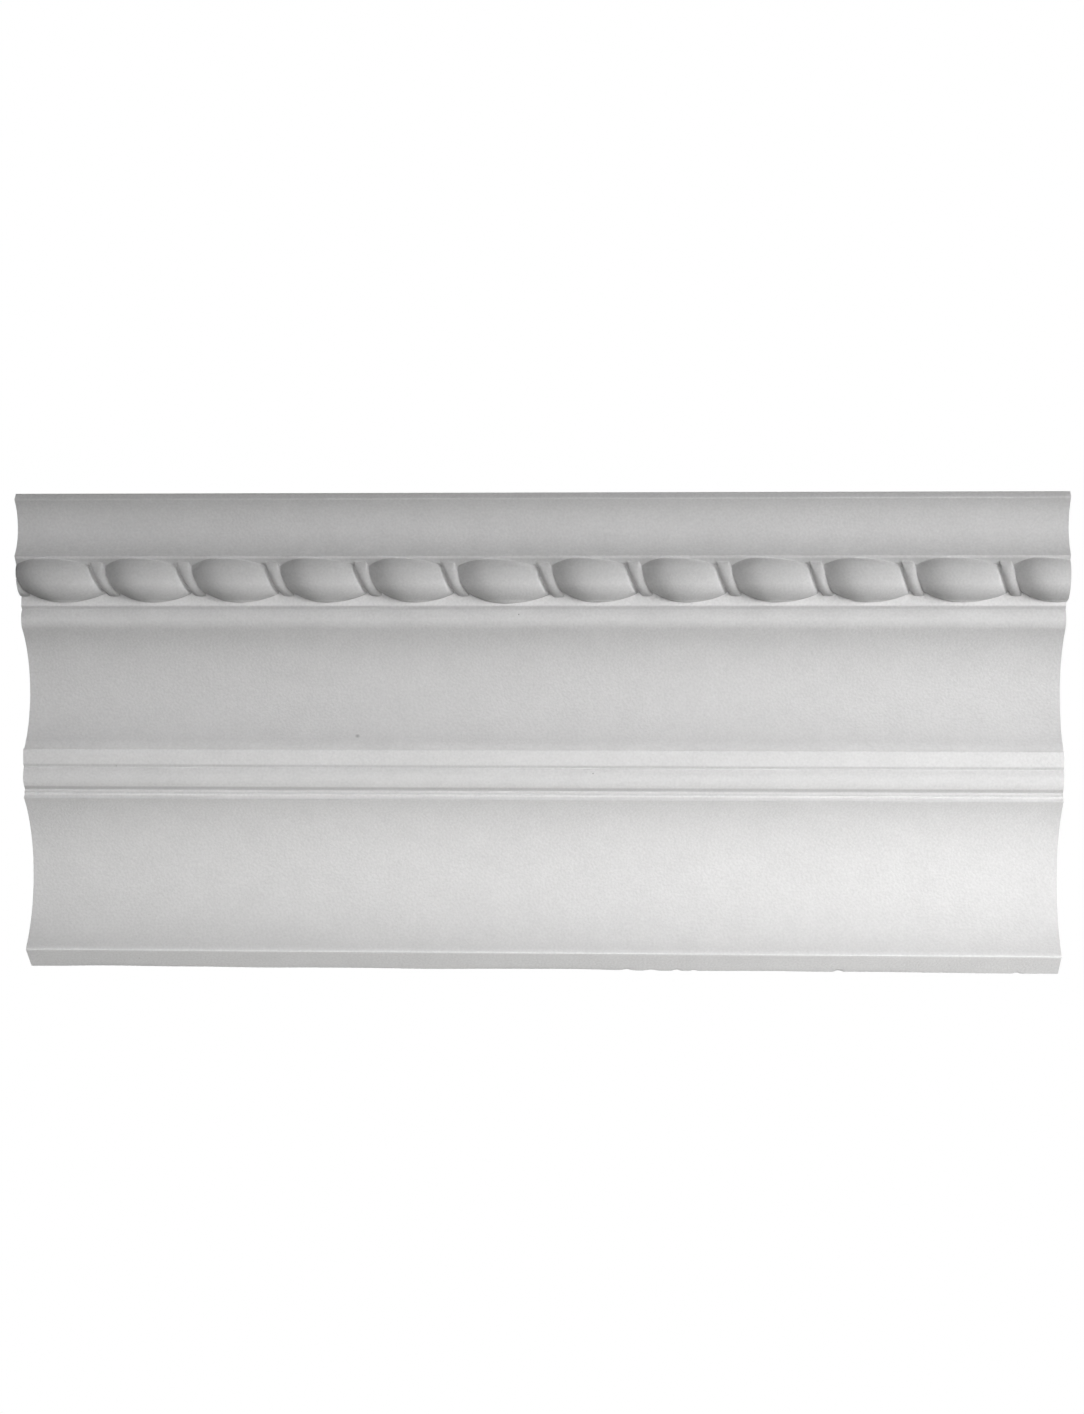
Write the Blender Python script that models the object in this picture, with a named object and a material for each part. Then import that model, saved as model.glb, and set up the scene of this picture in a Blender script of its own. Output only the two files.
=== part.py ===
"""A length of cast plaster cornice with a rope enrichment under its upper cove.

X runs along the length, the wall is behind at +Y and the ceiling is above at +Z. The origin is
in the middle of the wall face. In the section, p is the distance out from the wall and q the
drop below the ceiling. All sizes are in metres.
"""

import math

import bmesh
import bpy

# The length, cut square at both ends
LENGTH = 0.352

# The section's members, from the ceiling down to the wall
CEILING_FILLET = 0.0029
UPPER_COVE_RADIUS = 0.0128
ROPE_FILLET = 0.00125
ROPE_BED_WIDTH = 0.0180
ROPE_BED_SPLAY = math.radians(8.0)
ROPE_BACK_HEIGHT = 0.00425
SOFFIT_WIDTH = 0.0014
ROLL_RADIUS = 0.0049
MIDDLE_COVE_RADIUS = 0.0290
BAND_LEDGE = 0.0008
BAND_RADIUS = 0.0135
BAND_TURN = (math.radians(30.0), math.radians(54.0))
BAND_QUIRK = 0.0011
BEAD_RADIUS = 0.0049
BEAD_QUIRK = 0.0013
UPPER_LIST_HEIGHT = 0.0013
LIST_STEP = 0.0008
LOWER_LIST_HEIGHT = 0.0018
LOWER_COVE_RADIUS = 0.0369
WALL_EDGE_WIDTH = 0.0099

# The thickness of plaster behind the deepest hollow, square to the sloping back
BACK_THICKNESS = 0.0140

# The rope: fat strands with a thin cord between them
STRAND_PITCH = 0.0303
CORD_WIDTH = 0.0041
RECESS_WIDTH = 0.0011
FLANK_GAP = 0.00030
STRAND_LEAN = math.radians(20.0)
FIRST_STRAND = 0.0068
ROPE_HEIGHT = 0.0073
ROPE_MARGIN = 0.0008

# Shares of the rope's own height and width that give a strand its swelling form
FLANK_LEVEL = 0.52
FLANK_WIDTH = 0.60
END_LEVEL = 0.55
END_WIDTH = 0.66
CROWN_PLACE = 0.42
RECESS_LEVEL = 0.34
RECESS_SPREAD = 0.60
CORD_EDGE_LEVEL = 0.42
CORD_CROWN_LEVEL = 0.60
CORD_SPREAD = 0.80

# How finely the curves are cut into facets
QUARTER_FACETS = {"small": 5, "medium": 7, "large": 12}
BAND_FACETS = 3
ROPE_FACETS = 8
FAT_STRAND_STATIONS = 12
CORD_STATIONS = 4
SHARP_ANGLE = math.radians(32.0)

# How many times the search for the rope's meeting with its bed halves its range
HALVINGS = 30

PLASTER_COLOUR = (0.80, 0.79, 0.785, 1.0)
PLASTER_ROUGHNESS = 0.85


class Section:
    """A pen that walks down the face of the cornice in the p, q plane."""

    def __init__(self, p, q):
        self.points = [(p, q)]

    def step(self, back=0.0, down=0.0):
        p, q = self.points[-1]
        self.points.append((p - back, q + down))

    def cove(self, radius, facets):
        """A hollow quarter round that starts level and ends plumb."""
        p, q = self.points[-1]
        for i in range(1, facets + 1):
            turn = math.pi / 2 * i / facets
            self.points.append((p - radius * math.sin(turn), q + radius * (1 - math.cos(turn))))

    def swell(self, radius, facets, turns=(0.0, math.pi / 2)):
        """A swelling arc. Its turns are how far its face looks down at its start and end."""
        p, q = self.points[-1]
        start, end = turns
        for i in range(1, facets + 1):
            turn = start + (end - start) * i / facets
            self.points.append((p - radius * (math.cos(start) - math.cos(turn)),
                                q + radius * (math.sin(turn) - math.sin(start))))


def upper_members():
    """From the front edge of the ceiling face down to the front edge of the rope's bed."""
    pen = Section(0.0, 0.0)
    pen.step(down=CEILING_FILLET)
    pen.cove(UPPER_COVE_RADIUS, QUARTER_FACETS["medium"])
    pen.step(down=ROPE_FILLET)
    return pen.points


def lower_members(start):
    """From the foot of the rope's back down to the wall."""
    pen = Section(*start)
    pen.step(back=SOFFIT_WIDTH)
    pen.swell(ROLL_RADIUS, QUARTER_FACETS["small"])
    pen.cove(MIDDLE_COVE_RADIUS, QUARTER_FACETS["large"])
    pen.step(back=-BAND_LEDGE)
    pen.swell(BAND_RADIUS, BAND_FACETS, BAND_TURN)
    pen.step(back=BAND_QUIRK)
    pen.swell(BEAD_RADIUS, QUARTER_FACETS["small"])
    pen.step(back=BEAD_QUIRK)
    pen.step(down=UPPER_LIST_HEIGHT)
    pen.step(back=LIST_STEP)
    pen.step(down=LOWER_LIST_HEIGHT)
    pen.cove(LOWER_COVE_RADIUS, QUARTER_FACETS["large"])
    pen.step(back=WALL_EDGE_WIDTH)
    return pen.points


def back_members(lower, projection):
    """Up the wall face, across the sloping back and out along the ceiling face."""
    drop = lower[-1][1]
    cove_middle = WALL_EDGE_WIDTH + LOWER_COVE_RADIUS * (1 - math.sin(math.pi / 4))
    cove_middle += drop - LOWER_COVE_RADIUS * math.cos(math.pi / 4)
    back_line = cove_middle - BACK_THICKNESS * math.sqrt(2)
    return [(0.0, back_line), (back_line, 0.0), (projection, 0.0)]


def strand_profile():
    """Stations along one pitch of the rope: place, share of the width, share of the height."""
    fat_length = STRAND_PITCH - CORD_WIDTH - RECESS_WIDTH
    stations = []
    for i in range(FAT_STRAND_STATIONS + 1):
        t = (1 - math.cos(math.pi * i / FAT_STRAND_STATIONS)) / 2
        if t < CROWN_PLACE:
            fall, level, spread = 1 - t / CROWN_PLACE, FLANK_LEVEL, FLANK_WIDTH
        else:
            fall, level, spread = (t - CROWN_PLACE) / (1 - CROWN_PLACE), END_LEVEL, END_WIDTH
        spread = 1 - (1 - spread) * fall ** 2
        level = 1 - (1 - level) * fall ** 2
        stations.append((t * fat_length, spread, level))
    stations.append((fat_length + RECESS_WIDTH / 2, RECESS_SPREAD, RECESS_LEVEL))
    for i in range(CORD_STATIONS + 1):
        turn = math.pi * i / CORD_STATIONS
        t = (1 - math.cos(turn)) / 2
        level = CORD_EDGE_LEVEL + (CORD_CROWN_LEVEL - CORD_EDGE_LEVEL) * math.sin(turn)
        # A cord ends at a small gap before the next strand's foot, so that its flank stays steep
        place = fat_length + RECESS_WIDTH + t * (CORD_WIDTH - FLANK_GAP)
        stations.append((place, CORD_SPREAD, level))
    return stations


def bed_point(run):
    """A point of the rope's bed, flat and then splayed, by its distance along the bed."""
    flat = ROPE_BED_WIDTH - ROPE_BACK_HEIGHT
    if run <= flat:
        return run, 0.0
    return flat + (run - flat) * math.sqrt(0.5), (run - flat) * math.sqrt(0.5)


def bed_run(across):
    """The distance along the bed of the point at this distance across it."""
    flat = ROPE_BED_WIDTH - ROPE_BACK_HEIGHT
    if across <= flat:
        return across
    return flat + (across - flat) * math.sqrt(2)


def in_section(bed, across, height):
    """The p and q of a point by its place across the bed and its height off it."""
    p, q = bed
    lean, rise = math.cos(ROPE_BED_SPLAY), math.sin(ROPE_BED_SPLAY)
    return p - across * lean + height * rise, q + across * rise + height * lean


def rope_foot(bed):
    """The lower edge of the splay behind the rope."""
    return in_section(bed, ROPE_BED_WIDTH, ROPE_BACK_HEIGHT)


def rope_row(bed, spread, level):
    """One line across the rope, from its bed's front edge to the foot of the splay behind it.

    Each point is its place across the bed and its p and q.
    """
    half_width = (ROPE_BED_WIDTH - ROPE_MARGIN) / 2
    middle = ROPE_MARGIN + half_width

    def on_rope(turn):
        return middle + half_width * spread * math.sin(turn), ROPE_HEIGHT * level * math.cos(turn)

    # The angle round the rope at which its back sinks into the bed, by halving
    low, high = 0.0, math.pi / 2
    for _ in range(HALVINGS):
        turn = (low + high) / 2
        across, height = on_rope(turn)
        if height > bed_point(bed_run(across))[1]:
            low = turn
        else:
            high = turn
    meeting = low
    flat_points = [(0.0, 0.0)]
    for i in range(ROPE_FACETS + 1):
        flat_points.append(on_rope(-math.pi / 2 + (math.pi / 2 + meeting) * i / ROPE_FACETS))
    start = bed_run(on_rope(meeting)[0])
    corner = ROPE_BED_WIDTH - ROPE_BACK_HEIGHT
    end = bed_run(ROPE_BED_WIDTH)
    flat_points.append(bed_point(corner if start < corner else (start + end) / 2))
    flat_points.append(bed_point(end))
    return [(across, *in_section(bed, across, height)) for across, height in flat_points]


def cornice_mesh():
    """The whole casting: the rope as a grid of facets, the other members as long flat strips."""
    upper = upper_members()
    lower = lower_members(rope_foot(upper[-1]))
    projection = -lower[-1][0]
    upper = [(p + projection, q) for p, q in upper]
    lower = [(p + projection, q) for p, q in lower]
    back = back_members(lower, projection)
    wall_middle = (lower[-1][1] + back[0][1]) / 2

    bm = bmesh.new()

    def corner(x, p, q):
        return bm.verts.new((x, -p, wall_middle - q))

    # The rope starts and ends past the square cuts, by whole strands and by its lean
    spare = STRAND_PITCH + ROPE_BED_WIDTH * math.tan(STRAND_LEAN)
    first = math.floor((-LENGTH / 2 - spare - FIRST_STRAND) / STRAND_PITCH)
    last = math.ceil((LENGTH / 2 + spare - FIRST_STRAND) / STRAND_PITCH)
    columns = []
    for strand in range(first, last + 1):
        for place, spread, level in strand_profile():
            x = FIRST_STRAND + strand * STRAND_PITCH + place
            columns.append([corner(x + (u - ROPE_BED_WIDTH / 2) * math.tan(STRAND_LEAN), p, q)
                            for u, p, q in rope_row(upper[-1], spread, level)])
    for left, right in zip(columns, columns[1:]):
        for j in range(len(left) - 1):
            bm.faces.new((left[j], left[j + 1], right[j + 1], right[j]))

    # The other members, as lines that run past the cuts, joined by flat strips
    reach = LENGTH / 2 + spare + STRAND_PITCH
    ends = {point: [corner(-reach, *point), corner(reach, *point)]
            for point in set(upper[:-1] + lower[1:] + back)}
    above = [ends[point] for point in upper[:-1]] + [[column[0] for column in columns]]
    below = [[column[-1] for column in columns]] + [ends[point] for point in lower[1:] + back]
    for lines in (above, below):
        for line, following in zip(lines, lines[1:]):
            bm.faces.new(line + following[::-1])

    for side in (-1, 1):
        geometry = bm.verts[:] + bm.edges[:] + bm.faces[:]
        bmesh.ops.bisect_plane(bm, geom=geometry, dist=1e-7, plane_co=(side * LENGTH / 2, 0, 0),
                               plane_no=(side, 0, 0), clear_outer=True)
    bmesh.ops.holes_fill(bm, edges=[edge for edge in bm.edges if edge.is_boundary], sides=0)
    bmesh.ops.recalc_face_normals(bm, faces=bm.faces[:])
    return bm


def plaster():
    """Bare white casting plaster."""
    material = bpy.data.materials.new("plaster")
    material.use_nodes = True
    shader = material.node_tree.nodes["Principled BSDF"]
    shader.inputs["Base Color"].default_value = PLASTER_COLOUR
    shader.inputs["Roughness"].default_value = PLASTER_ROUGHNESS
    shader.inputs["Metallic"].default_value = 0.0
    return material


def main():
    for old in list(bpy.data.objects):
        bpy.data.objects.remove(old, do_unlink=True)
    bm = cornice_mesh()
    mesh = bpy.data.meshes.new("cornice_length")
    bm.to_mesh(mesh)
    bm.free()
    mesh.shade_smooth()
    mesh.set_sharp_from_angle(angle=SHARP_ANGLE)
    mesh.materials.append(plaster())
    cornice = bpy.data.objects.new("cornice_length", mesh)
    bpy.context.scene.collection.objects.link(cornice)


main()
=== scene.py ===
"""A length of plaster cornice with a rope ornament: its finished casting and a plain studio.

Sizes are in metres. In the section, p is the distance out from the wall and q the drop below
the ceiling.
"""

import math

import bmesh
import bpy
from mathutils import Matrix, Vector, noise


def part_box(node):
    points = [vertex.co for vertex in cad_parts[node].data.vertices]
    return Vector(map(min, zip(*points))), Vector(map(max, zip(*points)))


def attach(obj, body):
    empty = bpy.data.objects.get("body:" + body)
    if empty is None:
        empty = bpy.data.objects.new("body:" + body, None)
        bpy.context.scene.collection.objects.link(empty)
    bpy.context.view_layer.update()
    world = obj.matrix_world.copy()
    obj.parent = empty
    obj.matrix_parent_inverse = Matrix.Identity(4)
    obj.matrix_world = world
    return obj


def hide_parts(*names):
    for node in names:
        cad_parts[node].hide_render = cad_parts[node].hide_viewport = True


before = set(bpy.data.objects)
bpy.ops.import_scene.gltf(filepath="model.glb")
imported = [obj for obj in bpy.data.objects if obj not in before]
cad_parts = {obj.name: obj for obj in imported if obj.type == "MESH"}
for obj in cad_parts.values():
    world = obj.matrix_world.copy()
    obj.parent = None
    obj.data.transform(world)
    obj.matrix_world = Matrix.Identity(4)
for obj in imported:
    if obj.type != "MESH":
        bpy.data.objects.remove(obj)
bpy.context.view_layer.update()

LOW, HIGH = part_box("cornice_length")
LENGTH = HIGH[0] - LOW[0]
PROJECTION = HIGH[1] - LOW[1]
DROP = HIGH[2] - LOW[2]

# The section's members, from the ceiling down to the wall
CEILING_FILLET = 0.0029
UPPER_COVE_RADIUS = 0.0128
ROPE_FILLET = 0.00125
ROPE_BED_WIDTH = 0.0180
ROPE_BED_SPLAY = math.radians(8.0)
ROPE_BACK_HEIGHT = 0.00425
SOFFIT_WIDTH = 0.0014
ROLL_RADIUS = 0.0049
MIDDLE_COVE_RADIUS = 0.0290
BAND_LEDGE = 0.0008
BAND_RADIUS = 0.0135
BAND_TURN = (math.radians(30.0), math.radians(54.0))
BAND_QUIRK = 0.0011
BEAD_RADIUS = 0.0049
BEAD_QUIRK = 0.0013
UPPER_LIST_HEIGHT = 0.0013
LIST_STEP = 0.0008
LOWER_LIST_HEIGHT = 0.0018
LOWER_COVE_RADIUS = 0.0369
BACK_THICKNESS = 0.0140
WALL_EDGE_WIDTH = 0.0099

# The rope: fat strands with a thin cord between them
STRAND_PITCH = 0.0303
CORD_WIDTH = 0.0041
RECESS_WIDTH = 0.0011
FLANK_GAP = 0.00030
STRAND_LEAN = math.radians(20.0)
FIRST_STRAND = 0.0068
ROPE_HEIGHT = 0.0073
ROPE_MARGIN = 0.0008
ROPE_FOOT_RADIUS = 0.0002

# Shares of the rope's own height and width that give a strand its swelling form
FLANK_LEVEL = 0.52
FLANK_WIDTH = 0.60
END_LEVEL = 0.55
END_WIDTH = 0.66
END_ROLL = 0.04
END_ROLL_LEVEL = 0.07
CROWN_PLACE = 0.42
RECESS_LEVEL = 0.34
RECESS_SPREAD = 0.60
CORD_EDGE_LEVEL = 0.42
CORD_CROWN_LEVEL = 0.60
CORD_SPREAD = 0.80

# The form of the recess: shares of its width, each with the share of its depth there
RECESS_STATIONS = [(0.15, 0.55), (0.4, 1.0), (0.65, 0.95), (0.9, 0.5)]

# How far the strands of the cast model stray from even places along it, and across their bed
STRAND_SHIFTS = {-5: 0.0008, -3: -0.0004, -2: -0.0008, -1: -0.0016, 1: -0.0004, 2: -0.0009,
                 3: -0.0006, 4: -0.0007, 5: 0.0012}
STRAND_DRIFTS = {-1: 0.0005}

# The faint swell of the cast face: its depth, the length of its waves, and the margin at the wall
# and the ceiling in which it fades away
SWELL_DEPTH = 0.00016
SWELL_LENGTH = 0.030
SWELL_MARGIN = 0.006

# The worn edge at the wall: the depth and length of the wear, how much of the edge it takes in, how
# far it reaches up for each step out, and the depth of the finer roughness
EDGE_WEAR = 0.00045
EDGE_WEAR_LENGTH = 0.030
EDGE_WEAR_BIAS = 0.4
EDGE_WEAR_RISE = 0.4
EDGE_ROUGHNESS = 0.00005

# The lines of the noise that the wear and the roughness are taken from
EDGE_WEAR_LINE = 1.3
EDGE_ROUGHNESS_LINE = 8.1

# Bites out of the edge at the wall: along it, half their length, and depth
EDGE_CHIPS = [(0.0300, 0.0022, 0.0006), (0.0385, 0.0030, 0.0005), (0.0470, 0.0016, 0.0007),
              (0.0530, 0.0014, 0.0005), (0.1020, 0.0018, 0.0008), (0.1620, 0.0013, 0.0006)]

# The chip out of a strand's end: along the casting, out from the wall, below the ceiling, then its
# radius and depth, the size of its ragged grain, and the grain's mean and range
CHIP_PLACE = (0.0008, 0.1042, 0.0204)
CHIP_RADIUS = 0.0012
CHIP_DEPTH = 0.0016
CHIP_GRAIN = 0.0006
CHIP_RAGGEDNESS = (0.6, 0.8)

# The arrises and inner corners that are rounded: the least turn of one, its radius, and the most
# that it takes of each member beside it. From the band to the lists, by their drop, they are finer.
ARRIS_TURN = math.radians(25.0)
ARRIS_RADIUS = 0.00050
ARRIS_SHARE = 0.45
FINE_ARRIS_RADIUS = 0.00016
FINE_MEMBERS = (0.0560, 0.0720)

# How finely the casting is meshed
COLUMN_STEP = 0.0009
ROW_STEP = 0.0012
FEWEST_ARC_PIECES = 8
ARRIS_PIECES = 3
ROPE_ROWS = 24
FOOT_ROWS = 3
BED_ROWS = 6
FAT_STRAND_STATIONS = 30
CORD_STATIONS = 9
HALVINGS = 30
MERGE_DISTANCE = 1e-7
SMOOTH_TURN = math.radians(50.0)

# How near a point lies to a hidden face when it counts as on it, more at the worn edge, and how
# squarely a face looks along the casting or to the wall when it counts as an end or the wall face
SLACK = 1e-5
WALL_REACH = 0.0020
END_FACING = 0.99
WALL_FACING = 0.9

# The finishes of the cast face, the sawn ends and the struck-off back, in this order on the mesh.
# A stretch scales the coordinates along, out and up, so below 1 it draws the pattern out longer.
CAST, SAWN, STRUCK = range(3)
CAST_FINISH = {"tone": (0.825, 0.82, 0.82), "mottle_scale": 110.0, "grain_scale": 1200.0,
               "grain_depth": 0.00018}
SAWN_FINISH = {"tone": (0.68, 0.67, 0.655), "mottle_scale": 200.0, "grain_scale": 700.0,
               "grain_depth": 0.00030, "stretch": (1.0, 0.12, 1.0)}
STRUCK_FINISH = {"tone": (0.74, 0.73, 0.71), "mottle_scale": 60.0, "grain_scale": 260.0,
                 "grain_depth": 0.00090}

# What all finishes share. The darker of the two tones is a share of the paler one, and the pattern
# that mixes them is part mottle and part grain.
ROUGHNESS = 0.88
SPECULAR_LEVEL = 0.25
MOTTLE_DETAIL = 4.0
GRAIN_DETAIL = 3.0
MOTTLE_SHARE = 0.3
DARKER_SHARE = 0.88
TONE_STOPS = (0.30, 0.70)
BUMP_STRENGTH = 0.7

# Pinholes: the scale of the cells that hold them, their radius in a cell, the share of the cells
# that have one, and their colour
PINHOLE_SCALE = 160.0
PINHOLE_SIZE = 0.035
PINHOLE_SHARE = 0.06
PINHOLE_COLOUR = (0.42, 0.41, 0.40, 1.0)

# Painted light makes the raised members and the splay behind the rope lighter, and painted shade
# darkens the hollows, the quirks between them and the edges of the strands: the way back and down the
# section from the ceiling's front edge, each with the share of the tone there
MEMBER_LIGHT_AND_SHADE = [
    # The fillet at the ceiling, and the upper hollow
    (0.0026, 1.15), (0.0031, 0.97), (0.0180, 1.06), (0.0285, 1.02),
    # The rope's fillet, then its strands from front to back
    (0.0308, 1.06), (0.0314, 0.83), (0.0385, 0.88), (0.0430, 0.98), (0.0488, 0.80), (0.0505, 0.83),
    # The splay behind the strands, then the soffit and the roll
    (0.0512, 1.12), (0.0535, 1.15), (0.0540, 0.82), (0.0566, 1.02), (0.0600, 1.09), (0.0650, 0.98),
    # The end of the middle hollow, then the band and its quirk
    (0.1180, 0.99), (0.1220, 1.12), (0.1298, 1.10), (0.1302, 0.88), (0.1309, 0.88),
    # The bead and its quirk
    (0.1313, 1.09), (0.1405, 1.06), (0.1409, 0.78), (0.1419, 0.78),
    # The two lists and the step between them
    (0.1422, 1.12), (0.1433, 1.08), (0.1437, 0.93), (0.1445, 1.16),
    # The lower hollow, and the edge at the wall
    (0.1463, 1.03), (0.2180, 0.92), (0.2201, 1.06),
]

# The least and the greatest share of the tone that the ramp of painted light and shade can hold
LIGHT_AND_SHADE_RANGE = (0.75, 1.25)

# Where the painted light of the splay begins, and how far off the splay a point still counts as on it
SPLAY_WAY = 0.0512
SPLAY_MARGIN = 0.0002

# Specks on the cast face: along it, out from the wall, below the ceiling, radius and tone's share
SPECKS = [(-0.0618, 0.0584, 0.0515, 0.0009, 0.55), (0.0880, 0.0500, 0.0560, 0.0006, 0.75)]

# The camera: the photograph's frame, and its focal length in pixels of that frame
PHOTO_WIDTH = 1084
PHOTO_HEIGHT = 1414
FOCAL_PIXELS = 2200
SENSOR_WIDTH_MM = 36.0
CLIP_START = 0.01
CAMERA_DISTANCE = 0.7308
CAMERA_BELOW_LEVEL = math.radians(42.0)
CAMERA_YAW = math.radians(2.79)
CAMERA_ROLL = math.radians(0.124)

# The point that it looks at: along the casting, out from the wall and below the ceiling
AIM = (0.0020, 0.0774, 0.05505)

# Soft spots: name, place right, up and back of the camera's aim, target right and up of it, cone in
# degrees, radius of the lamp and power in watts
SPOTS = [
    ("left_light", (-0.1, 0.0, 1.2), (-0.20, -0.24), 40.0, 0.2, 19.0),
    ("left_soft_light", (-0.1, 0.0, 1.2), (-0.20, -0.24), 40.0, 0.6, 32.0),
    ("far_left_light", (-0.1, 0.0, 1.2), (-0.36, -0.16), 24.0, 0.2, 19.0),
    ("right_light", (0.1, 0.0, 1.2), (0.22, -0.16), 36.0, 0.2, 24.0),
    ("low_light", (0.9, -0.1, 0.7), (0.20, -0.15), 40.0, 0.2, 18.0),
    ("side_light", (1.05, -0.05, 0.5), (0.10, -0.20), 44.0, 0.2, 36.0),
    ("back_left_light", (-0.9, 0.1, -1.0), (0.0, 0.0), 40.0, 0.3, 40.0),
    ("back_right_light", (0.9, 0.1, -1.0), (0.0, 0.0), 40.0, 0.3, 50.0),
]

# The light that a pale bench sends up: its size, its colour and power, and its place out from the
# wall and below the casting
BOUNCE_SIZE = (0.5, 0.06)
BOUNCE_COLOUR = (1.0, 1.0, 0.95)
BOUNCE_POWER = 0.045
BOUNCE_OUT = 0.03
BOUNCE_BELOW = 0.10

# The floor: half its width, how far it lies below the casting, and its paint
FLOOR_REACH = 4.0
FLOOR_BELOW = 1.0
FLOOR_COLOUR = (0.8, 0.8, 0.8, 1.0)
FLOOR_ROUGHNESS = 0.9
WHITE = (1.0, 1.0, 1.0, 1.0)

# Where the sloping back meets the wall face and the ceiling face, from their corner
BACK_LINE = (WALL_EDGE_WIDTH + LOWER_COVE_RADIUS * (1 - math.sin(math.pi / 4))
             + DROP - LOWER_COVE_RADIUS * math.cos(math.pi / 4) - BACK_THICKNESS * math.sqrt(2))

# Half the length of the mesh before it is cut square: the leaning rope has to run past the cuts
UNCUT_REACH = LENGTH / 2 + (STRAND_PITCH + ROPE_BED_WIDTH * math.tan(STRAND_LEAN))


def place_at(along, p, q):
    """The point this far along the casting, out from the wall and below the ceiling."""
    return Vector((along, HIGH[1] - p, HIGH[2] - q))


class Section:
    """A pen that walks down the face of the cornice in the p, q plane."""

    def __init__(self, p, q):
        self.points = [(p, q)]

    def step(self, back=0.0, down=0.0):
        """A straight member, cut into short pieces."""
        p, q = self.points[-1]
        pieces = max(1, round(math.hypot(back, down) / ROW_STEP))
        for i in range(1, pieces + 1):
            self.points.append((p - back * i / pieces, q + down * i / pieces))

    def cove(self, radius):
        """A hollow quarter round that starts level and ends plumb."""
        p, q = self.points[-1]
        for turn in arc_turns(radius):
            self.points.append((p - radius * math.sin(turn), q + radius * (1 - math.cos(turn))))

    def swell(self, radius, turns=(0.0, math.pi / 2)):
        """A swelling arc. Its turns are how far its face looks down at its start and end."""
        p, q = self.points[-1]
        start, end = turns
        for turn in arc_turns(radius, start, end):
            self.points.append((p - radius * (math.cos(start) - math.cos(turn)),
                                q + radius * (math.sin(turn) - math.sin(start))))


def arc_turns(radius, start=0.0, end=math.pi / 2):
    """The turns of the points along an arc, without its first."""
    pieces = max(FEWEST_ARC_PIECES, round(radius * (end - start) / ROW_STEP))
    return [start + (end - start) * i / pieces for i in range(1, pieces + 1)]


def upper_members():
    """From the front edge of the ceiling face down to the front edge of the rope's bed."""
    pen = Section(PROJECTION, 0.0)
    pen.step(down=CEILING_FILLET)
    pen.cove(UPPER_COVE_RADIUS)
    pen.step(down=ROPE_FILLET)
    return pen.points


def lower_members(start):
    """From the foot of the rope's back down to the wall."""
    pen = Section(*start)
    pen.step(back=SOFFIT_WIDTH)
    pen.swell(ROLL_RADIUS)
    pen.cove(MIDDLE_COVE_RADIUS)
    pen.step(back=-BAND_LEDGE)
    pen.swell(BAND_RADIUS, BAND_TURN)
    pen.step(back=BAND_QUIRK)
    pen.swell(BEAD_RADIUS)
    pen.step(back=BEAD_QUIRK)
    pen.step(down=UPPER_LIST_HEIGHT)
    pen.step(back=LIST_STEP)
    pen.step(down=LOWER_LIST_HEIGHT)
    pen.cove(LOWER_COVE_RADIUS)
    pen.step(back=WALL_EDGE_WIDTH)
    return pen.points


def back_members():
    """Up the wall face, across the sloping back and out along the ceiling face."""
    return [(0.0, BACK_LINE), (BACK_LINE, 0.0), (PROJECTION, 0.0)]


def soften(points):
    """Round each arris and inner corner of the section, but not its two ends."""
    rounded = [points[0]]
    for before, here, after in zip(points, points[1:], points[2:]):
        a = Vector(before) - Vector(here)
        b = Vector(after) - Vector(here)
        turn = math.pi - a.angle(b)
        if turn < ARRIS_TURN:
            rounded.append(here)
            continue
        fine = FINE_MEMBERS[0] < here[1] < FINE_MEMBERS[1]
        cut = (FINE_ARRIS_RADIUS if fine else ARRIS_RADIUS) * math.tan(turn / 2)
        start = Vector(here) + a * min(ARRIS_SHARE, cut / a.length)
        end = Vector(here) + b * min(ARRIS_SHARE, cut / b.length)
        for i in range(ARRIS_PIECES + 1):
            t = i / ARRIS_PIECES
            point = start * (1 - t) ** 2 + Vector(here) * 2 * t * (1 - t) + end * t ** 2
            rounded.append(tuple(point))
    rounded.append(points[-1])
    return rounded


def strand_profile(pitch):
    """Stations along one pitch of the rope: place, share of the width, share of the height."""
    fat_length = pitch - CORD_WIDTH - RECESS_WIDTH
    stations = []
    for i in range(FAT_STRAND_STATIONS + 1):
        t = (1 - math.cos(math.pi * i / FAT_STRAND_STATIONS)) / 2
        if t < CROWN_PLACE:
            fall, level, spread = 1 - t / CROWN_PLACE, FLANK_LEVEL, FLANK_WIDTH
        else:
            fall, level, spread = (t - CROWN_PLACE) / (1 - CROWN_PLACE), END_LEVEL, END_WIDTH
        spread = 1 - (1 - spread) * fall ** 2
        level = 1 - (1 - level) * fall ** 2
        level -= END_ROLL_LEVEL * max(0.0, (t - 1) / END_ROLL + 1) ** 2
        stations.append((t * fat_length, spread, level))
    rim = END_LEVEL - END_ROLL_LEVEL
    for share, depth in RECESS_STATIONS:
        level = rim + (RECESS_LEVEL - rim) * depth
        stations.append((fat_length + RECESS_WIDTH * share, RECESS_SPREAD, level))
    for i in range(CORD_STATIONS + 1):
        turn = math.pi * i / CORD_STATIONS
        t = (1 - math.cos(turn)) / 2
        level = CORD_EDGE_LEVEL + (CORD_CROWN_LEVEL - CORD_EDGE_LEVEL) * math.sin(turn)
        # A cord ends at a small gap before the next strand's foot, so that its flank stays steep
        place = fat_length + RECESS_WIDTH + t * (CORD_WIDTH - FLANK_GAP)
        stations.append((place, CORD_SPREAD, level))
    return stations


def bed_point(run):
    """A point of the rope's bed, flat and then splayed, by its distance along the bed."""
    flat = ROPE_BED_WIDTH - ROPE_BACK_HEIGHT
    if run <= flat:
        return run, 0.0
    return flat + (run - flat) * math.sqrt(0.5), (run - flat) * math.sqrt(0.5)


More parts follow.
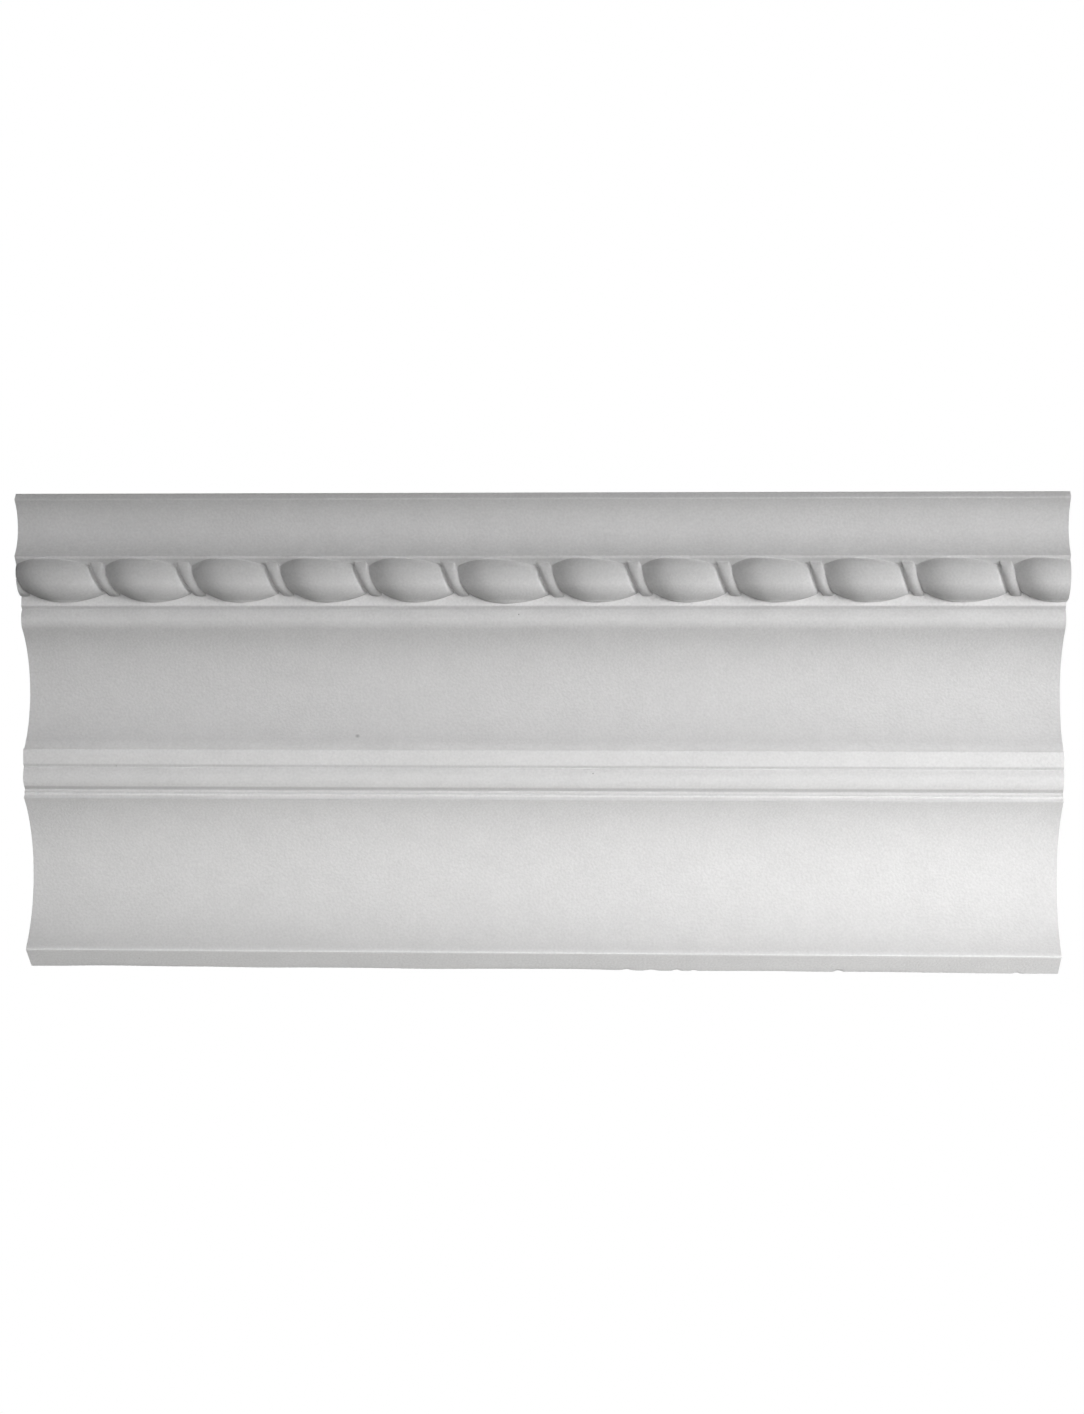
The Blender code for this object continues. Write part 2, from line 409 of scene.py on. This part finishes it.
def bed_run(across):
    """The distance along the bed of the point at this distance across it."""
    flat = ROPE_BED_WIDTH - ROPE_BACK_HEIGHT
    if across <= flat:
        return across
    return flat + (across - flat) * math.sqrt(2)


def in_section(bed, across, height):
    """The p and q of a point by its place across the bed and its height off it."""
    p, q = bed
    lean, rise = math.cos(ROPE_BED_SPLAY), math.sin(ROPE_BED_SPLAY)
    return p - across * lean + height * rise, q + across * rise + height * lean


def rope_foot(bed):
    """The lower edge of the splay behind the rope."""
    return in_section(bed, ROPE_BED_WIDTH, ROPE_BACK_HEIGHT)


def sinking_turn(on_rope):
    """The angle round the rope at which its back sinks into the bed, by halving."""
    low, high = 0.0, math.pi / 2
    for _ in range(HALVINGS):
        turn = (low + high) / 2
        across, height = on_rope(turn)
        if height > bed_point(bed_run(across))[1]:
            low = turn
        else:
            high = turn
    return low


def rope_row(bed, spread, level, drift):
    """One line across the rope, from its bed's front edge to the foot of the splay behind it.

    Each point is its place across the bed and its p and q.
    """
    half_width = (ROPE_BED_WIDTH - ROPE_MARGIN) / 2
    middle = ROPE_MARGIN + half_width + drift

    def on_rope(turn):
        return middle + half_width * spread * math.sin(turn), ROPE_HEIGHT * level * math.cos(turn)

    flat_points = [(0.0, 0.0)]
    front = middle - half_width * spread
    for i in range(FOOT_ROWS):
        turn = math.pi / 2 * i / FOOT_ROWS
        flat_points.append((front - ROPE_FOOT_RADIUS * (1 - math.sin(turn)),
                            ROPE_FOOT_RADIUS * (1 - math.cos(turn))))
    first = -math.acos(ROPE_FOOT_RADIUS / (ROPE_HEIGHT * level))
    last = sinking_turn(on_rope)
    for i in range(ROPE_ROWS + 1):
        flat_points.append(on_rope(first + (last - first) * i / ROPE_ROWS))
    start = bed_run(on_rope(last)[0])
    end = bed_run(ROPE_BED_WIDTH)
    for i in range(1, BED_ROWS + 1):
        flat_points.append(bed_point(start + (end - start) * i / BED_ROWS))
    return [(across, *in_section(bed, across, height)) for across, height in flat_points]


def strand_start(strand):
    return FIRST_STRAND + strand * STRAND_PITCH + STRAND_SHIFTS.get(strand, 0.0)


def rope_grid(bm, bed):
    """The rope as a fine grid: its lines across the bed, from left to right."""
    first = math.floor((-UNCUT_REACH - FIRST_STRAND) / STRAND_PITCH)
    last = math.ceil((UNCUT_REACH - FIRST_STRAND) / STRAND_PITCH)
    columns = []
    for strand in range(first, last + 1):
        start, following = strand_start(strand), strand_start(strand + 1)
        drift = STRAND_DRIFTS.get(strand, 0.0)
        for place, spread, level in strand_profile(following - start):
            column = []
            for across, p, q in rope_row(bed, spread, level, drift):
                along = start + place + (across - ROPE_BED_WIDTH / 2) * math.tan(STRAND_LEAN)
                column.append(bm.verts.new(place_at(along, p, q)))
            columns.append(column)
    for left, right in zip(columns, columns[1:]):
        for j in range(len(left) - 1):
            bm.faces.new((left[j], left[j + 1], right[j + 1], right[j]))
    return columns


def member_grid(bm, members):
    """The plain members as a grid: a line along the casting for each point of the section."""
    pieces = round(2 * UNCUT_REACH / COLUMN_STEP)
    places = [-UNCUT_REACH + 2 * UNCUT_REACH * i / pieces for i in range(pieces + 1)]
    lines = [[bm.verts.new(place_at(along, p, q)) for along in places] for p, q in members]
    for line, following in zip(lines, lines[1:]):
        for i in range(pieces):
            bm.faces.new((line[i], following[i], following[i + 1], line[i + 1]))
    return lines


def stitch(bm, upper, lower):
    """Join two lines of points whose spacing differs, with faces that meet point to point."""
    coarse, fine = (upper, lower) if len(upper) < len(lower) else (lower, upper)
    nearest = []
    k = 0
    for vert in coarse:
        while k + 1 < len(fine) and abs(fine[k + 1].co.x - vert.co.x) < abs(fine[k].co.x - vert.co.x):
            k += 1
        nearest.append(k)
    for i in range(len(coarse) - 1):
        run = fine[nearest[i]:nearest[i + 1] + 1]
        bm.faces.new([coarse[i], coarse[i + 1]] + run[::-1])


def edge_bite(along):
    """How deep the edge at the wall is worn away at this place along the casting."""
    slow = noise.noise(Vector((along / EDGE_WEAR_LENGTH, EDGE_WEAR_LINE, 0.0)))
    quick = noise.noise(Vector((along / COLUMN_STEP, EDGE_ROUGHNESS_LINE, 0.0)))
    bite = EDGE_WEAR * max(0.0, EDGE_WEAR_BIAS + slow)
    bite += EDGE_ROUGHNESS * (1 + quick)
    for place, reach, depth in EDGE_CHIPS:
        bite += depth * max(0.0, 1 - abs(along - place) / reach)
    return bite


def wear(bm):
    """Press the face in by a faint swell, wear the edge at the wall and bite out the chip."""
    inward = Vector((0.0, math.sqrt(0.5), math.sqrt(0.5)))
    mean, ragged = CHIP_RAGGEDNESS
    for vert in bm.verts:
        to_wall, to_ceiling = HIGH[1] - vert.co.y, HIGH[2] - vert.co.z
        if to_wall < SLACK and abs(vert.co.z - LOW[2]) < SLACK:
            bite = edge_bite(vert.co.x)
            vert.co += Vector((0.0, -bite, EDGE_WEAR_RISE * bite))
        elif to_wall + to_ceiling >= BACK_LINE + SLACK:
            fade = min(1.0, to_wall / SWELL_MARGIN, to_ceiling / SWELL_MARGIN)
            swell = 0.5 + 0.5 * noise.noise(vert.co / SWELL_LENGTH)
            vert.co += inward * SWELL_DEPTH * fade * swell
            away = (vert.co - place_at(*CHIP_PLACE)).length / CHIP_RADIUS
            if away < 1:
                grain = mean + ragged * noise.noise(vert.co / CHIP_GRAIN)
                vert.co += inward * CHIP_DEPTH * (1 - away) * grain


def cut_square(bm):
    """Cut the mesh to its length and close both ends."""
    for side in (-1, 1):
        geometry = bm.verts[:] + bm.edges[:] + bm.faces[:]
        bmesh.ops.bisect_plane(bm, geom=geometry, dist=MERGE_DISTANCE,
                               plane_co=(side * LENGTH / 2, 0, 0), plane_no=(side, 0, 0),
                               clear_outer=True)
    bmesh.ops.holes_fill(bm, edges=[edge for edge in bm.edges if edge.is_boundary], sides=0)


def casting_mesh():
    """The whole casting: the rope as a fine grid, the other members as a coarser one."""
    upper = soften(upper_members())
    lower = soften(lower_members(rope_foot(upper[-1])))
    bm = bmesh.new()
    rope = rope_grid(bm, upper[-1])
    above = member_grid(bm, upper[:-1])
    below = member_grid(bm, lower[1:] + back_members())
    stitch(bm, above[-1], [column[0] for column in rope])
    stitch(bm, [column[-1] for column in rope], below[0])
    # The front line of the ceiling face and the first of the fillet below it coincide, and merge
    bmesh.ops.remove_doubles(bm, verts=bm.verts[:], dist=MERGE_DISTANCE)
    wear(bm)
    cut_square(bm)
    bmesh.ops.recalc_face_normals(bm, faces=bm.faces[:])
    return bm


class Shading:
    """A new material's nodes, with short ways to add and join them."""

    def __init__(self, name, stretch):
        self.material = bpy.data.materials.new(name)
        self.material.use_nodes = True
        self.nodes = self.material.node_tree.nodes
        self.links = self.material.node_tree.links
        self.shader = self.nodes["Principled BSDF"]
        self.where = self.nodes.new("ShaderNodeTexCoord").outputs["Object"]
        mapping = self.nodes.new("ShaderNodeMapping")
        mapping.inputs["Scale"].default_value = stretch
        self.links.new(self.where, mapping.inputs["Vector"])
        self.stretched = mapping.outputs["Vector"]

    def pattern(self, kind, scale):
        """A noise or cell pattern in the stretched coordinates."""
        node = self.nodes.new(kind)
        node.inputs["Scale"].default_value = scale
        self.links.new(self.stretched, node.inputs["Vector"])
        return node

    def noise(self, scale, detail):
        node = self.pattern("ShaderNodeTexNoise", scale)
        node.inputs["Detail"].default_value = detail
        return node.outputs["Fac"]

    def maths(self, operation, first, second):
        """The outcome of a sum whose terms are numbers or outputs of nodes."""
        node = self.nodes.new("ShaderNodeMath")
        node.operation = operation
        for socket, value in zip(node.inputs, (first, second)):
            if isinstance(value, float):
                socket.default_value = value
            else:
                self.links.new(value, socket)
        return node.outputs["Value"]

    def vector_maths(self, operation, vector):
        """A sum on a vector, whose other input is still open."""
        node = self.nodes.new("ShaderNodeVectorMath")
        node.operation = operation
        self.links.new(vector, node.inputs[0])
        return node


def surface(name, tone, mottle_scale, grain_scale, grain_depth, stretch=(1.0, 1.0, 1.0), cast=False):
    """A matte plaster: two tones mixed by a mottle and a finer grain, which also roughens it.

    It has a few pinholes. The cast face also takes the painted light and shade of its members, and
    its specks.
    """
    shading = Shading(name, stretch)
    links = shading.links
    shading.shader.inputs["Roughness"].default_value = ROUGHNESS
    shading.shader.inputs["Specular IOR Level"].default_value = SPECULAR_LEVEL

    mottle = shading.noise(mottle_scale, MOTTLE_DETAIL)
    grain = shading.noise(grain_scale, GRAIN_DETAIL)
    tones = shading.nodes.new("ShaderNodeValToRGB")
    colours = [tuple(DARKER_SHARE * value for value in tone), tone]
    for element, position, colour in zip(tones.color_ramp.elements, TONE_STOPS, colours):
        element.position = position
        element.color = (*colour, 1.0)
    mixed = shading.maths("ADD", shading.maths("MULTIPLY", mottle, MOTTLE_SHARE),
                          shading.maths("MULTIPLY", grain, 1.0 - MOTTLE_SHARE))
    links.new(mixed, tones.inputs["Fac"])
    plain = tones.outputs["Color"]
    # The cast face is scaled by painted light and shade: lighter on the raised members, darker in the
    # hollows and quirks
    if cast:
        scaled = shading.vector_maths("SCALE", plain)
        links.new(painted_light_and_shade(shading), scaled.inputs["Scale"])
        plain = scaled.outputs["Vector"]

    pits = pinholes(shading)
    shade = shading.nodes.new("ShaderNodeMix")
    shade.data_type = "RGBA"
    shade.inputs["B"].default_value = PINHOLE_COLOUR
    links.new(pits, shade.inputs["Factor"])
    links.new(plain, shade.inputs["A"])
    links.new(shade.outputs["Result"], shading.shader.inputs["Base Color"])

    bump = shading.nodes.new("ShaderNodeBump")
    bump.inputs["Strength"].default_value = BUMP_STRENGTH
    bump.inputs["Distance"].default_value = grain_depth
    links.new(shading.maths("SUBTRACT", grain, pits), bump.inputs["Height"])
    links.new(bump.outputs["Normal"], shading.shader.inputs["Normal"])
    return shading.material


def pinholes(shading):
    """1 within a small round pit in some of the cells, and 0 elsewhere."""
    cells = shading.pattern("ShaderNodeTexVoronoi", PINHOLE_SCALE)
    chance = shading.nodes.new("ShaderNodeSeparateColor")
    shading.links.new(cells.outputs["Color"], chance.inputs["Color"])
    near = shading.maths("LESS_THAN", cells.outputs["Distance"], PINHOLE_SIZE)
    chosen = shading.maths("GREATER_THAN", chance.outputs["Red"], 1.0 - PINHOLE_SHARE)
    return shading.maths("MULTIPLY", near, chosen)


def member_way(shading):
    """The way back and down the section, which tells all members apart for their painted light and
    shade, and the rope from its bed.
    """
    axes = shading.nodes.new("ShaderNodeSeparateXYZ")
    shading.links.new(shading.where, axes.inputs["Vector"])
    way = shading.maths("ADD", shading.maths("SUBTRACT", axes.outputs["Y"], axes.outputs["Z"]),
                        HIGH[2] - LOW[1])

    # The splay behind the rope counts as past the strands, wherever they let it show, so that it
    # takes the painted light of the splay
    lean, rise = math.cos(ROPE_BED_SPLAY), math.sin(ROPE_BED_SPLAY)
    bed = place_at(0.0, PROJECTION - UPPER_COVE_RADIUS,
                   CEILING_FILLET + UPPER_COVE_RADIUS + ROPE_FILLET)
    splay = bed.y * (lean + rise) + bed.z * (lean - rise) + ROPE_BED_WIDTH - ROPE_BACK_HEIGHT
    toward_splay = shading.maths("ADD", shading.maths("MULTIPLY", axes.outputs["Y"], lean + rise),
                                 shading.maths("MULTIPLY", axes.outputs["Z"], lean - rise))
    behind = shading.maths("GREATER_THAN", toward_splay, splay - SPLAY_MARGIN)
    return shading.maths("MAXIMUM", way, shading.maths("MULTIPLY", behind, SPLAY_WAY))


def painted_light_and_shade(shading):
    """The share of the tone at each place of the cast face: the painted light and shade of its
    member, less at a speck.
    """
    whole_way = PROJECTION + DROP
    low, high = LIGHT_AND_SHADE_RANGE
    members = shading.nodes.new("ShaderNodeValToRGB")
    shading.links.new(shading.maths("DIVIDE", member_way(shading), whole_way), members.inputs["Fac"])
    stops = members.color_ramp.elements
    stops.remove(stops[1])
    for i, (way, level) in enumerate(MEMBER_LIGHT_AND_SHADE):
        stop = stops.new(way / whole_way) if i else stops[0]
        stop.position = way / whole_way
        stop.color = (*[(level - low) / (high - low)] * 3, 1.0)
    gain = shading.maths("ADD", shading.maths("MULTIPLY", members.outputs["Color"], high - low), low)
    for along, p, q, radius, level in SPECKS:
        away = shading.vector_maths("DISTANCE", shading.where)
        away.inputs[1].default_value = place_at(along, p, q)
        fade = shading.maths("MINIMUM", shading.maths("DIVIDE", away.outputs["Value"], radius), 1.0)
        share = shading.maths("ADD", shading.maths("MULTIPLY", fade, 1.0 - level), level)
        gain = shading.maths("MULTIPLY", gain, share)
    return gain


def face_kind(face):
    """Which finish a face takes. The struck one is for the wall, the ceiling and the sloping back."""
    if abs(face.normal.x) > END_FACING:
        return SAWN
    to_wall = [HIGH[1] - vert.co.y for vert in face.verts]
    to_ceiling = [HIGH[2] - vert.co.z for vert in face.verts]
    on_wall = face.normal.y > WALL_FACING and max(to_wall) < WALL_REACH
    on_back = max(p + q for p, q in zip(to_wall, to_ceiling)) < BACK_LINE + SLACK
    return STRUCK if on_wall or on_back or max(to_ceiling) < SLACK else CAST


def add_object(name, data):
    added = bpy.data.objects.new(name, data)
    bpy.context.scene.collection.objects.link(added)
    return added


def add_casting():
    bm = casting_mesh()
    for face in bm.faces:
        face.material_index = face_kind(face)
    mesh = bpy.data.meshes.new("cornice_casting")
    bm.to_mesh(mesh)
    bm.free()
    mesh.shade_smooth()
    mesh.set_sharp_from_angle(angle=SMOOTH_TURN)
    mesh.materials.append(surface("plaster", cast=True, **CAST_FINISH))
    mesh.materials.append(surface("sawn_plaster", **SAWN_FINISH))
    mesh.materials.append(surface("struck_plaster", **STRUCK_FINISH))
    casting = add_object("cornice_casting", mesh)
    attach(casting, "root")
    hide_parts("cornice_length")


def view_axes():
    """The camera's right, up and backward directions, and the point that it looks at."""
    toward = Vector((0, -math.cos(CAMERA_BELOW_LEVEL), -math.sin(CAMERA_BELOW_LEVEL)))
    back = toward * math.cos(CAMERA_YAW) + Vector((1, 0, 0)) * math.sin(CAMERA_YAW)
    right = Vector((1, 0, 0)) * math.cos(CAMERA_YAW) - toward * math.sin(CAMERA_YAW)
    up = back.cross(right)
    roll = Matrix.Rotation(CAMERA_ROLL, 3, back)
    return roll @ right, roll @ up, back, place_at(*AIM)


def add_camera():
    right, up, back, aim = view_axes()
    data = bpy.data.cameras.new("camera")
    data.sensor_width = SENSOR_WIDTH_MM
    data.lens = FOCAL_PIXELS * SENSOR_WIDTH_MM / max(PHOTO_WIDTH, PHOTO_HEIGHT)
    data.clip_start = CLIP_START
    camera = add_object("camera", data)
    turn = Matrix((right, up, back)).transposed().to_4x4()
    camera.matrix_world = Matrix.Translation(aim + back * CAMERA_DISTANCE) @ turn
    bpy.context.scene.camera = camera


def add_spot(name, place, target, cone, radius, power):
    """A soft spot. Its place is right, up and back of the view, its target right and up of it."""
    right, up, back, aim = view_axes()
    data = bpy.data.lights.new(name, "SPOT")
    data.spot_size = math.radians(cone)
    data.spot_blend = 1.0
    data.shadow_soft_size = radius
    data.energy = power
    light = add_object(name, data)
    start = aim + right * place[0] + up * place[1] + back * place[2]
    goal = aim + right * target[0] + up * target[1]
    light.location = start
    light.rotation_euler = (start - goal).to_track_quat("Z", "Y").to_euler()
    light.visible_camera = False


def add_bounce_light():
    """The light that a pale bench sends up to the underside at the wall."""
    data = bpy.data.lights.new("bounce_light", "AREA")
    data.shape = "RECTANGLE"
    data.size, data.size_y = BOUNCE_SIZE
    data.color = BOUNCE_COLOUR
    data.energy = BOUNCE_POWER
    light = add_object("bounce_light", data)
    light.location = place_at(0.0, BOUNCE_OUT, DROP + BOUNCE_BELOW)
    light.rotation_euler = (math.pi, 0.0, 0.0)
    light.visible_camera = False


def add_floor():
    """A pale floor. The camera sees it glow as white as the surround, and the glow lights nothing."""
    bm = bmesh.new()
    bmesh.ops.create_grid(bm, x_segments=1, y_segments=1, size=FLOOR_REACH)
    mesh = bpy.data.meshes.new("floor")
    bm.to_mesh(mesh)
    bm.free()
    paint = bpy.data.materials.new("floor_paint")
    paint.use_nodes = True
    nodes, links = paint.node_tree.nodes, paint.node_tree.links
    shader = nodes["Principled BSDF"]
    shader.inputs["Base Color"].default_value = FLOOR_COLOUR
    shader.inputs["Roughness"].default_value = FLOOR_ROUGHNESS
    shader.inputs["Emission Color"].default_value = WHITE
    seen = nodes.new("ShaderNodeLightPath")
    links.new(seen.outputs["Is Camera Ray"], shader.inputs["Emission Strength"])
    mesh.materials.append(paint)
    floor = add_object("floor", mesh)
    floor.location = (0, 0, LOW[2] - FLOOR_BELOW)


def add_surround():
    """A world that the camera sees as white, and that lights nothing."""
    world = bpy.data.worlds.new("studio")
    world.use_nodes = True
    nodes, links = world.node_tree.nodes, world.node_tree.links
    dark = nodes["Background"]
    dark.inputs["Color"].default_value = WHITE
    dark.inputs["Strength"].default_value = 0.0
    white = nodes.new("ShaderNodeBackground")
    white.inputs["Color"].default_value = WHITE
    white.inputs["Strength"].default_value = 1.0
    seen = nodes.new("ShaderNodeLightPath")
    mix = nodes.new("ShaderNodeMixShader")
    links.new(seen.outputs["Is Camera Ray"], mix.inputs["Fac"])
    links.new(dark.outputs["Background"], mix.inputs[1])
    links.new(white.outputs["Background"], mix.inputs[2])
    links.new(mix.outputs["Shader"], nodes["World Output"].inputs["Surface"])
    bpy.context.scene.world = world


def add_studio():
    """A pale floor well below, a white surround and soft lights in front, beside and behind."""
    add_floor()
    add_surround()
    for spot in SPOTS:
        add_spot(*spot)
    add_bounce_light()
    bpy.context.scene.view_settings.view_transform = "Standard"


add_casting()
add_camera()
add_studio()
